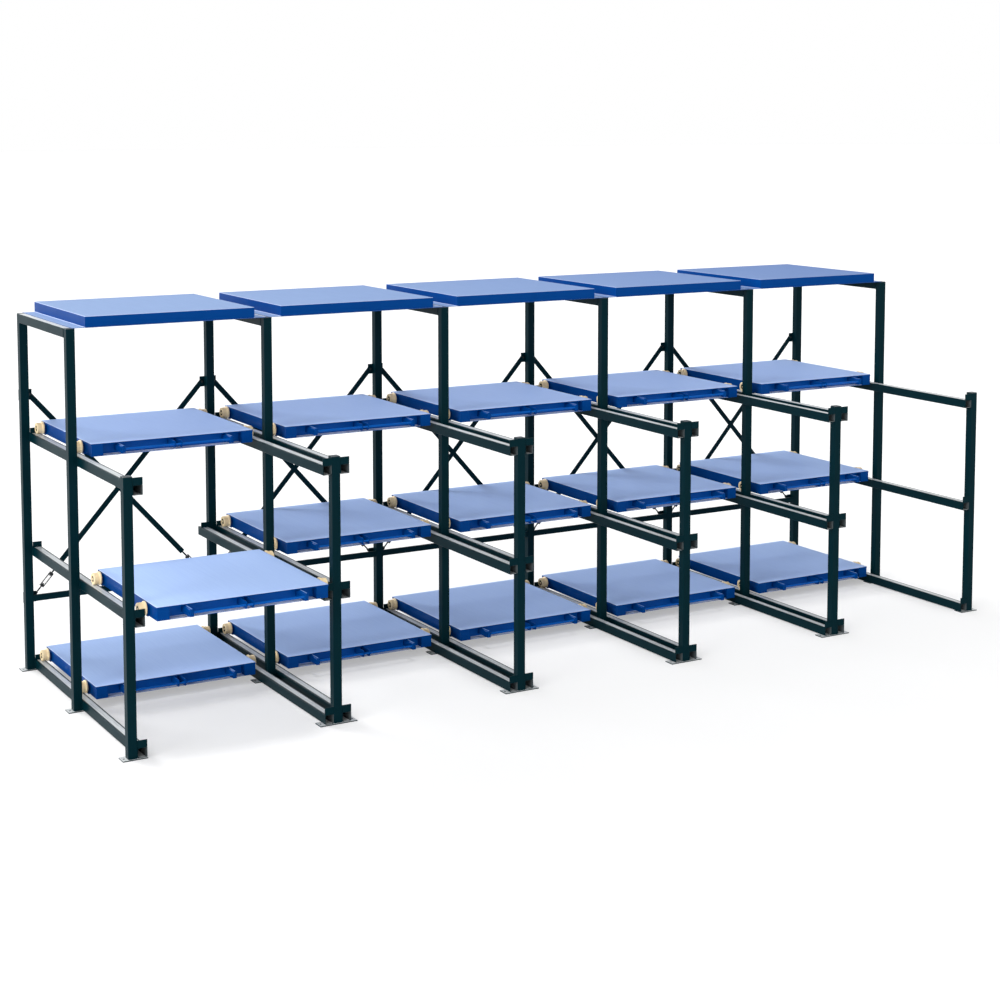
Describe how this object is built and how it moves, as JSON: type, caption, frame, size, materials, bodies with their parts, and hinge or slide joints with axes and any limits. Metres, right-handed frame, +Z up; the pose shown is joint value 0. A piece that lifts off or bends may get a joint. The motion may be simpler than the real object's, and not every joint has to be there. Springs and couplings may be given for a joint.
{
  "type": "pull-out shelf rack",
  "caption": "Free-standing row of storage bays with steel shelves that roll out to the front on side rails and a fixed shelf above each bay.",
  "frame": {"origin": "on the floor, at the middle of the whole footprint with the one shelf pulled out as the picture shows it", "axes": "+X along the row of bays, -Y towards the front that the shelves pull out to, +Z up"},
  "size_m": [5.531, 1.94, 2.059],
  "materials": {
    "frame_paint": "semi-gloss anthracite powder coat",
    "shelf_paint": "semi-gloss blue powder coat",
    "roller_plastic": "turned cream polyamide",
    "fastener_steel": "blackened steel"
  },
  "bodies": {
    "rack": {"rear_uprights": "frame_paint", "middle_uprights": "frame_paint", "front_uprights": "frame_paint", "upright_caps": "frame_paint", "base_plates": "frame_paint", "runner_rails": "frame_paint", "front_stops": "frame_paint", "rear_stops": "frame_paint", "top_beams": "frame_paint", "top_shelves": "shelf_paint", "brace_bars": "frame_paint", "brace_turnbuckles": "fastener_steel", "tie_bars": "frame_paint", "brace_brackets": "frame_paint", "frame_bolts": "fastener_steel"},
    "bay1_low_shelf": {"bay1_low_shelf": "shelf_paint"},
    "bay1_low_front_rollers": {"bay1_low_front_rollers": "roller_plastic"},
    "bay1_low_rear_rollers": {"bay1_low_rear_rollers": "roller_plastic"},
    "bay1_mid_shelf": {"bay1_mid_shelf": "shelf_paint"},
    "bay1_mid_front_rollers": {"bay1_mid_front_rollers": "roller_plastic"},
    "bay1_mid_rear_rollers": {"bay1_mid_rear_rollers": "roller_plastic"},
    "bay1_high_shelf": {"bay1_high_shelf": "shelf_paint"},
    "bay1_high_front_rollers": {"bay1_high_front_rollers": "roller_plastic"},
    "bay1_high_rear_rollers": {"bay1_high_rear_rollers": "roller_plastic"},
    "bay2_low_shelf": {"bay2_low_shelf": "shelf_paint"},
    "bay2_low_front_rollers": {"bay2_low_front_rollers": "roller_plastic"},
    "bay2_low_rear_rollers": {"bay2_low_rear_rollers": "roller_plastic"},
    "bay2_mid_shelf": {"bay2_mid_shelf": "shelf_paint"},
    "bay2_mid_front_rollers": {"bay2_mid_front_rollers": "roller_plastic"},
    "bay2_mid_rear_rollers": {"bay2_mid_rear_rollers": "roller_plastic"},
    "bay2_high_shelf": {"bay2_high_shelf": "shelf_paint"},
    "bay2_high_front_rollers": {"bay2_high_front_rollers": "roller_plastic"},
    "bay2_high_rear_rollers": {"bay2_high_rear_rollers": "roller_plastic"},
    "bay3_low_shelf": {"bay3_low_shelf": "shelf_paint"},
    "bay3_low_front_rollers": {"bay3_low_front_rollers": "roller_plastic"},
    "bay3_low_rear_rollers": {"bay3_low_rear_rollers": "roller_plastic"},
    "bay3_mid_shelf": {"bay3_mid_shelf": "shelf_paint"},
    "bay3_mid_front_rollers": {"bay3_mid_front_rollers": "roller_plastic"},
    "bay3_mid_rear_rollers": {"bay3_mid_rear_rollers": "roller_plastic"},
    "bay3_high_shelf": {"bay3_high_shelf": "shelf_paint"},
    "bay3_high_front_rollers": {"bay3_high_front_rollers": "roller_plastic"},
    "bay3_high_rear_rollers": {"bay3_high_rear_rollers": "roller_plastic"},
    "bay4_low_shelf": {"bay4_low_shelf": "shelf_paint"},
    "bay4_low_front_rollers": {"bay4_low_front_rollers": "roller_plastic"},
    "bay4_low_rear_rollers": {"bay4_low_rear_rollers": "roller_plastic"},
    "bay4_mid_shelf": {"bay4_mid_shelf": "shelf_paint"},
    "bay4_mid_front_rollers": {"bay4_mid_front_rollers": "roller_plastic"},
    "bay4_mid_rear_rollers": {"bay4_mid_rear_rollers": "roller_plastic"},
    "bay4_high_shelf": {"bay4_high_shelf": "shelf_paint"},
    "bay4_high_front_rollers": {"bay4_high_front_rollers": "roller_plastic"},
    "bay4_high_rear_rollers": {"bay4_high_rear_rollers": "roller_plastic"},
    "bay5_low_shelf": {"bay5_low_shelf": "shelf_paint"},
    "bay5_low_front_rollers": {"bay5_low_front_rollers": "roller_plastic"},
    "bay5_low_rear_rollers": {"bay5_low_rear_rollers": "roller_plastic"},
    "bay5_mid_shelf": {"bay5_mid_shelf": "shelf_paint"},
    "bay5_mid_front_rollers": {"bay5_mid_front_rollers": "roller_plastic"},
    "bay5_mid_rear_rollers": {"bay5_mid_rear_rollers": "roller_plastic"},
    "bay5_high_shelf": {"bay5_high_shelf": "shelf_paint"},
    "bay5_high_front_rollers": {"bay5_high_front_rollers": "roller_plastic"},
    "bay5_high_rear_rollers": {"bay5_high_rear_rollers": "roller_plastic"}
  },
  "joints": [
    {"name": "bay1_low_slide", "type": "slide", "parent": "rack", "child": "bay1_low_shelf", "axis": [0, -1, 0], "range_m": [0, 0.949]},
    {"name": "bay1_low_front_rollers_spin", "type": "hinge", "parent": "bay1_low_shelf", "child": "bay1_low_front_rollers", "pos_m": [-2.17, 0.189, 0.0853], "axis": [1, 0, 0], "continuous": true},
    {"name": "bay1_low_rear_rollers_spin", "type": "hinge", "parent": "bay1_low_shelf", "child": "bay1_low_rear_rollers", "pos_m": [-2.17, 0.869, 0.0853], "axis": [1, 0, 0], "continuous": true},
    {"name": "bay1_mid_slide", "type": "slide", "parent": "rack", "child": "bay1_mid_shelf", "axis": [0, -1, 0], "range_m": [-0.949, 0]},
    {"name": "bay1_mid_front_rollers_spin", "type": "hinge", "parent": "bay1_mid_shelf", "child": "bay1_mid_front_rollers", "pos_m": [-2.17, -0.76, 0.7253], "axis": [1, 0, 0], "continuous": true},
    {"name": "bay1_mid_rear_rollers_spin", "type": "hinge", "parent": "bay1_mid_shelf", "child": "bay1_mid_rear_rollers", "pos_m": [-2.17, -0.08, 0.7253], "axis": [1, 0, 0], "continuous": true},
    {"name": "bay1_high_slide", "type": "slide", "parent": "rack", "child": "bay1_high_shelf", "axis": [0, -1, 0], "range_m": [0, 0.949]},
    {"name": "bay1_high_front_rollers_spin", "type": "hinge", "parent": "bay1_high_shelf", "child": "bay1_high_front_rollers", "pos_m": [-2.17, 0.189, 1.3653], "axis": [1, 0, 0], "continuous": true},
    {"name": "bay1_high_rear_rollers_spin", "type": "hinge", "parent": "bay1_high_shelf", "child": "bay1_high_rear_rollers", "pos_m": [-2.17, 0.869, 1.3653], "axis": [1, 0, 0], "continuous": true},
    {"name": "bay2_low_slide", "type": "slide", "parent": "rack", "child": "bay2_low_shelf", "axis": [0, -1, 0], "range_m": [0, 0.949]},
    {"name": "bay2_low_front_rollers_spin", "type": "hinge", "parent": "bay2_low_shelf", "child": "bay2_low_front_rollers", "pos_m": [-1.085, 0.189, 0.0853], "axis": [1, 0, 0], "continuous": true},
    {"name": "bay2_low_rear_rollers_spin", "type": "hinge", "parent": "bay2_low_shelf", "child": "bay2_low_rear_rollers", "pos_m": [-1.085, 0.869, 0.0853], "axis": [1, 0, 0], "continuous": true},
    {"name": "bay2_mid_slide", "type": "slide", "parent": "rack", "child": "bay2_mid_shelf", "axis": [0, -1, 0], "range_m": [0, 0.949]},
    {"name": "bay2_mid_front_rollers_spin", "type": "hinge", "parent": "bay2_mid_shelf", "child": "bay2_mid_front_rollers", "pos_m": [-1.085, 0.189, 0.7253], "axis": [1, 0, 0], "continuous": true},
    {"name": "bay2_mid_rear_rollers_spin", "type": "hinge", "parent": "bay2_mid_shelf", "child": "bay2_mid_rear_rollers", "pos_m": [-1.085, 0.869, 0.7253], "axis": [1, 0, 0], "continuous": true},
    {"name": "bay2_high_slide", "type": "slide", "parent": "rack", "child": "bay2_high_shelf", "axis": [0, -1, 0], "range_m": [0, 0.949]},
    {"name": "bay2_high_front_rollers_spin", "type": "hinge", "parent": "bay2_high_shelf", "child": "bay2_high_front_rollers", "pos_m": [-1.085, 0.189, 1.3653], "axis": [1, 0, 0], "continuous": true},
    {"name": "bay2_high_rear_rollers_spin", "type": "hinge", "parent": "bay2_high_shelf", "child": "bay2_high_rear_rollers", "pos_m": [-1.085, 0.869, 1.3653], "axis": [1, 0, 0], "continuous": true},
    {"name": "bay3_low_slide", "type": "slide", "parent": "rack", "child": "bay3_low_shelf", "axis": [0, -1, 0], "range_m": [0, 0.949]},
    {"name": "bay3_low_front_rollers_spin", "type": "hinge", "parent": "bay3_low_shelf", "child": "bay3_low_front_rollers", "pos_m": [0, 0.189, 0.0853], "axis": [1, 0, 0], "continuous": true},
    {"name": "bay3_low_rear_rollers_spin", "type": "hinge", "parent": "bay3_low_shelf", "child": "bay3_low_rear_rollers", "pos_m": [0, 0.869, 0.0853], "axis": [1, 0, 0], "continuous": true},
    {"name": "bay3_mid_slide", "type": "slide", "parent": "rack", "child": "bay3_mid_shelf", "axis": [0, -1, 0], "range_m": [0, 0.949]},
    {"name": "bay3_mid_front_rollers_spin", "type": "hinge", "parent": "bay3_mid_shelf", "child": "bay3_mid_front_rollers", "pos_m": [0, 0.189, 0.7253], "axis": [1, 0, 0], "continuous": true},
    {"name": "bay3_mid_rear_rollers_spin", "type": "hinge", "parent": "bay3_mid_shelf", "child": "bay3_mid_rear_rollers", "pos_m": [0, 0.869, 0.7253], "axis": [1, 0, 0], "continuous": true},
    {"name": "bay3_high_slide", "type": "slide", "parent": "rack", "child": "bay3_high_shelf", "axis": [0, -1, 0], "range_m": [0, 0.949]},
    {"name": "bay3_high_front_rollers_spin", "type": "hinge", "parent": "bay3_high_shelf", "child": "bay3_high_front_rollers", "pos_m": [0, 0.189, 1.3653], "axis": [1, 0, 0], "continuous": true},
    {"name": "bay3_high_rear_rollers_spin", "type": "hinge", "parent": "bay3_high_shelf", "child": "bay3_high_rear_rollers", "pos_m": [0, 0.869, 1.3653], "axis": [1, 0, 0], "continuous": true},
    {"name": "bay4_low_slide", "type": "slide", "parent": "rack", "child": "bay4_low_shelf", "axis": [0, -1, 0], "range_m": [0, 0.949]},
    {"name": "bay4_low_front_rollers_spin", "type": "hinge", "parent": "bay4_low_shelf", "child": "bay4_low_front_rollers", "pos_m": [1.085, 0.189, 0.0853], "axis": [1, 0, 0], "continuous": true},
    {"name": "bay4_low_rear_rollers_spin", "type": "hinge", "parent": "bay4_low_shelf", "child": "bay4_low_rear_rollers", "pos_m": [1.085, 0.869, 0.0853], "axis": [1, 0, 0], "continuous": true},
    {"name": "bay4_mid_slide", "type": "slide", "parent": "rack", "child": "bay4_mid_shelf", "axis": [0, -1, 0], "range_m": [0, 0.949]},
    {"name": "bay4_mid_front_rollers_spin", "type": "hinge", "parent": "bay4_mid_shelf", "child": "bay4_mid_front_rollers", "pos_m": [1.085, 0.189, 0.7253], "axis": [1, 0, 0], "continuous": true},
    {"name": "bay4_mid_rear_rollers_spin", "type": "hinge", "parent": "bay4_mid_shelf", "child": "bay4_mid_rear_rollers", "pos_m": [1.085, 0.869, 0.7253], "axis": [1, 0, 0], "continuous": true},
    {"name": "bay4_high_slide", "type": "slide", "parent": "rack", "child": "bay4_high_shelf", "axis": [0, -1, 0], "range_m": [0, 0.949]},
    {"name": "bay4_high_front_rollers_spin", "type": "hinge", "parent": "bay4_high_shelf", "child": "bay4_high_front_rollers", "pos_m": [1.085, 0.189, 1.3653], "axis": [1, 0, 0], "continuous": true},
    {"name": "bay4_high_rear_rollers_spin", "type": "hinge", "parent": "bay4_high_shelf", "child": "bay4_high_rear_rollers", "pos_m": [1.085, 0.869, 1.3653], "axis": [1, 0, 0], "continuous": true},
    {"name": "bay5_low_slide", "type": "slide", "parent": "rack", "child": "bay5_low_shelf", "axis": [0, -1, 0], "range_m": [0, 0.949]},
    {"name": "bay5_low_front_rollers_spin", "type": "hinge", "parent": "bay5_low_shelf", "child": "bay5_low_front_rollers", "pos_m": [2.17, 0.189, 0.0853], "axis": [1, 0, 0], "continuous": true},
    {"name": "bay5_low_rear_rollers_spin", "type": "hinge", "parent": "bay5_low_shelf", "child": "bay5_low_rear_rollers", "pos_m": [2.17, 0.869, 0.0853], "axis": [1, 0, 0], "continuous": true},
    {"name": "bay5_mid_slide", "type": "slide", "parent": "rack", "child": "bay5_mid_shelf", "axis": [0, -1, 0], "range_m": [0, 0.949]},
    {"name": "bay5_mid_front_rollers_spin", "type": "hinge", "parent": "bay5_mid_shelf", "child": "bay5_mid_front_rollers", "pos_m": [2.17, 0.189, 0.7253], "axis": [1, 0, 0], "continuous": true},
    {"name": "bay5_mid_rear_rollers_spin", "type": "hinge", "parent": "bay5_mid_shelf", "child": "bay5_mid_rear_rollers", "pos_m": [2.17, 0.869, 0.7253], "axis": [1, 0, 0], "continuous": true},
    {"name": "bay5_high_slide", "type": "slide", "parent": "rack", "child": "bay5_high_shelf", "axis": [0, -1, 0], "range_m": [0, 0.949]},
    {"name": "bay5_high_front_rollers_spin", "type": "hinge", "parent": "bay5_high_shelf", "child": "bay5_high_front_rollers", "pos_m": [2.17, 0.189, 1.3653], "axis": [1, 0, 0], "continuous": true},
    {"name": "bay5_high_rear_rollers_spin", "type": "hinge", "parent": "bay5_high_shelf", "child": "bay5_high_rear_rollers", "pos_m": [2.17, 0.869, 1.3653], "axis": [1, 0, 0], "continuous": true}
  ],
  "couplings": [
    {"joint": "bay1_low_front_rollers_spin", "follows": "bay1_low_slide", "rad_per_m": 33.333},
    {"joint": "bay1_low_rear_rollers_spin", "follows": "bay1_low_slide", "rad_per_m": 33.333},
    {"joint": "bay1_mid_front_rollers_spin", "follows": "bay1_mid_slide", "rad_per_m": 33.333},
    {"joint": "bay1_mid_rear_rollers_spin", "follows": "bay1_mid_slide", "rad_per_m": 33.333},
    {"joint": "bay1_high_front_rollers_spin", "follows": "bay1_high_slide", "rad_per_m": 33.333},
    {"joint": "bay1_high_rear_rollers_spin", "follows": "bay1_high_slide", "rad_per_m": 33.333},
    {"joint": "bay2_low_front_rollers_spin", "follows": "bay2_low_slide", "rad_per_m": 33.333},
    {"joint": "bay2_low_rear_rollers_spin", "follows": "bay2_low_slide", "rad_per_m": 33.333},
    {"joint": "bay2_mid_front_rollers_spin", "follows": "bay2_mid_slide", "rad_per_m": 33.333},
    {"joint": "bay2_mid_rear_rollers_spin", "follows": "bay2_mid_slide", "rad_per_m": 33.333},
    {"joint": "bay2_high_front_rollers_spin", "follows": "bay2_high_slide", "rad_per_m": 33.333},
    {"joint": "bay2_high_rear_rollers_spin", "follows": "bay2_high_slide", "rad_per_m": 33.333},
    {"joint": "bay3_low_front_rollers_spin", "follows": "bay3_low_slide", "rad_per_m": 33.333},
    {"joint": "bay3_low_rear_rollers_spin", "follows": "bay3_low_slide", "rad_per_m": 33.333},
    {"joint": "bay3_mid_front_rollers_spin", "follows": "bay3_mid_slide", "rad_per_m": 33.333},
    {"joint": "bay3_mid_rear_rollers_spin", "follows": "bay3_mid_slide", "rad_per_m": 33.333},
    {"joint": "bay3_high_front_rollers_spin", "follows": "bay3_high_slide", "rad_per_m": 33.333},
    {"joint": "bay3_high_rear_rollers_spin", "follows": "bay3_high_slide", "rad_per_m": 33.333},
    {"joint": "bay4_low_front_rollers_spin", "follows": "bay4_low_slide", "rad_per_m": 33.333},
    {"joint": "bay4_low_rear_rollers_spin", "follows": "bay4_low_slide", "rad_per_m": 33.333},
    {"joint": "bay4_mid_front_rollers_spin", "follows": "bay4_mid_slide", "rad_per_m": 33.333},
    {"joint": "bay4_mid_rear_rollers_spin", "follows": "bay4_mid_slide", "rad_per_m": 33.333},
    {"joint": "bay4_high_front_rollers_spin", "follows": "bay4_high_slide", "rad_per_m": 33.333},
    {"joint": "bay4_high_rear_rollers_spin", "follows": "bay4_high_slide", "rad_per_m": 33.333},
    {"joint": "bay5_low_front_rollers_spin", "follows": "bay5_low_slide", "rad_per_m": 33.333},
    {"joint": "bay5_low_rear_rollers_spin", "follows": "bay5_low_slide", "rad_per_m": 33.333},
    {"joint": "bay5_mid_front_rollers_spin", "follows": "bay5_mid_slide", "rad_per_m": 33.333},
    {"joint": "bay5_mid_rear_rollers_spin", "follows": "bay5_mid_slide", "rad_per_m": 33.333},
    {"joint": "bay5_high_front_rollers_spin", "follows": "bay5_high_slide", "rad_per_m": 33.333},
    {"joint": "bay5_high_rear_rollers_spin", "follows": "bay5_high_slide", "rad_per_m": 33.333}
  ]
}
